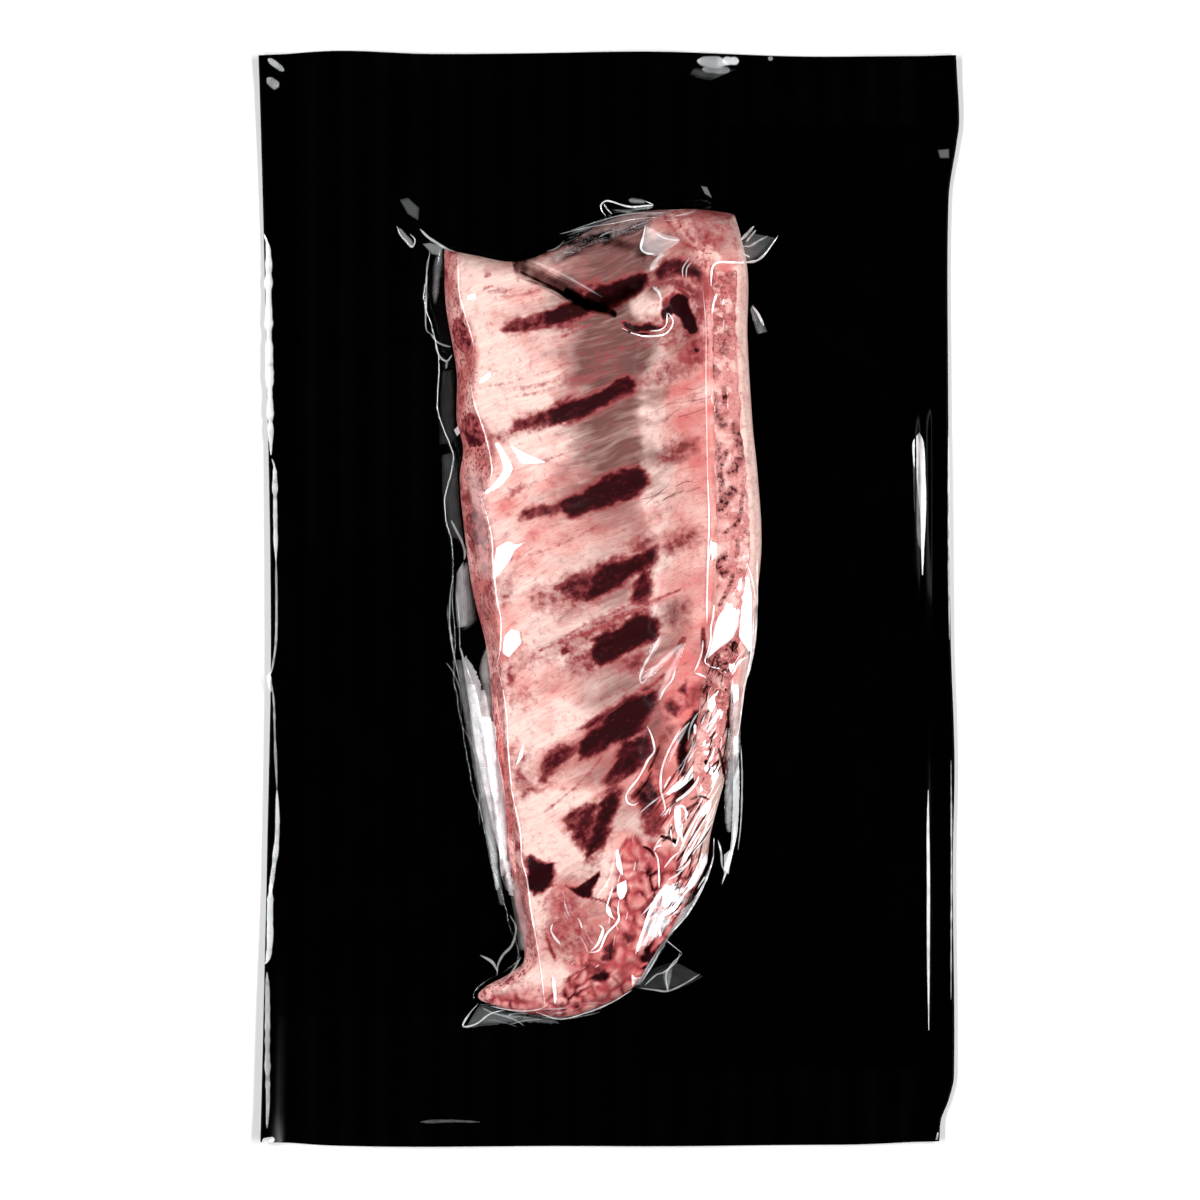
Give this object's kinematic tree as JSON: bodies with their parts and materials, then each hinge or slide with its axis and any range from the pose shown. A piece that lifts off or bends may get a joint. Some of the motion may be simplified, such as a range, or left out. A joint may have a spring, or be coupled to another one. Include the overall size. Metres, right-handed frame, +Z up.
{
  "type": "vacuum pack of raw pork loin ribs",
  "caption": "Flat vacuum pouch with an opaque black back web and a clear front web, sealed round a raw rack of pork loin ribs lying bone side up.",
  "frame": {"origin": "on the underside of the back web, under the middle of the pouch's box", "axes": "+X across the pouch towards the rack's chine side, +Y along the pouch towards the rack's square end, +Z up out of the clear front"},
  "size_m": [0.2516, 0.3939, 0.0315],
  "materials": {
    "black_film": "glossy opaque pouch film",
    "clear_film": "thin clear glossy pouch film",
    "raw_meat": "wet raw pork, fat and membrane under film",
    "rib_bone": "sawn and blood-dark bone seen through film",
    "chine_bone": "sawn spongy bone under film"
  },
  "bodies": {
    "root": {"back_web": "black_film", "sealed_rack": "raw_meat", "rib_bone_1": "rib_bone", "rib_bone_2": "rib_bone", "rib_bone_3": "rib_bone", "rib_bone_4": "rib_bone", "rib_bone_5": "rib_bone", "rib_bone_6": "rib_bone", "rib_bone_7": "rib_bone", "rib_bone_8": "rib_bone", "chine_bone": "chine_bone"}
  },
  "joints": []
}
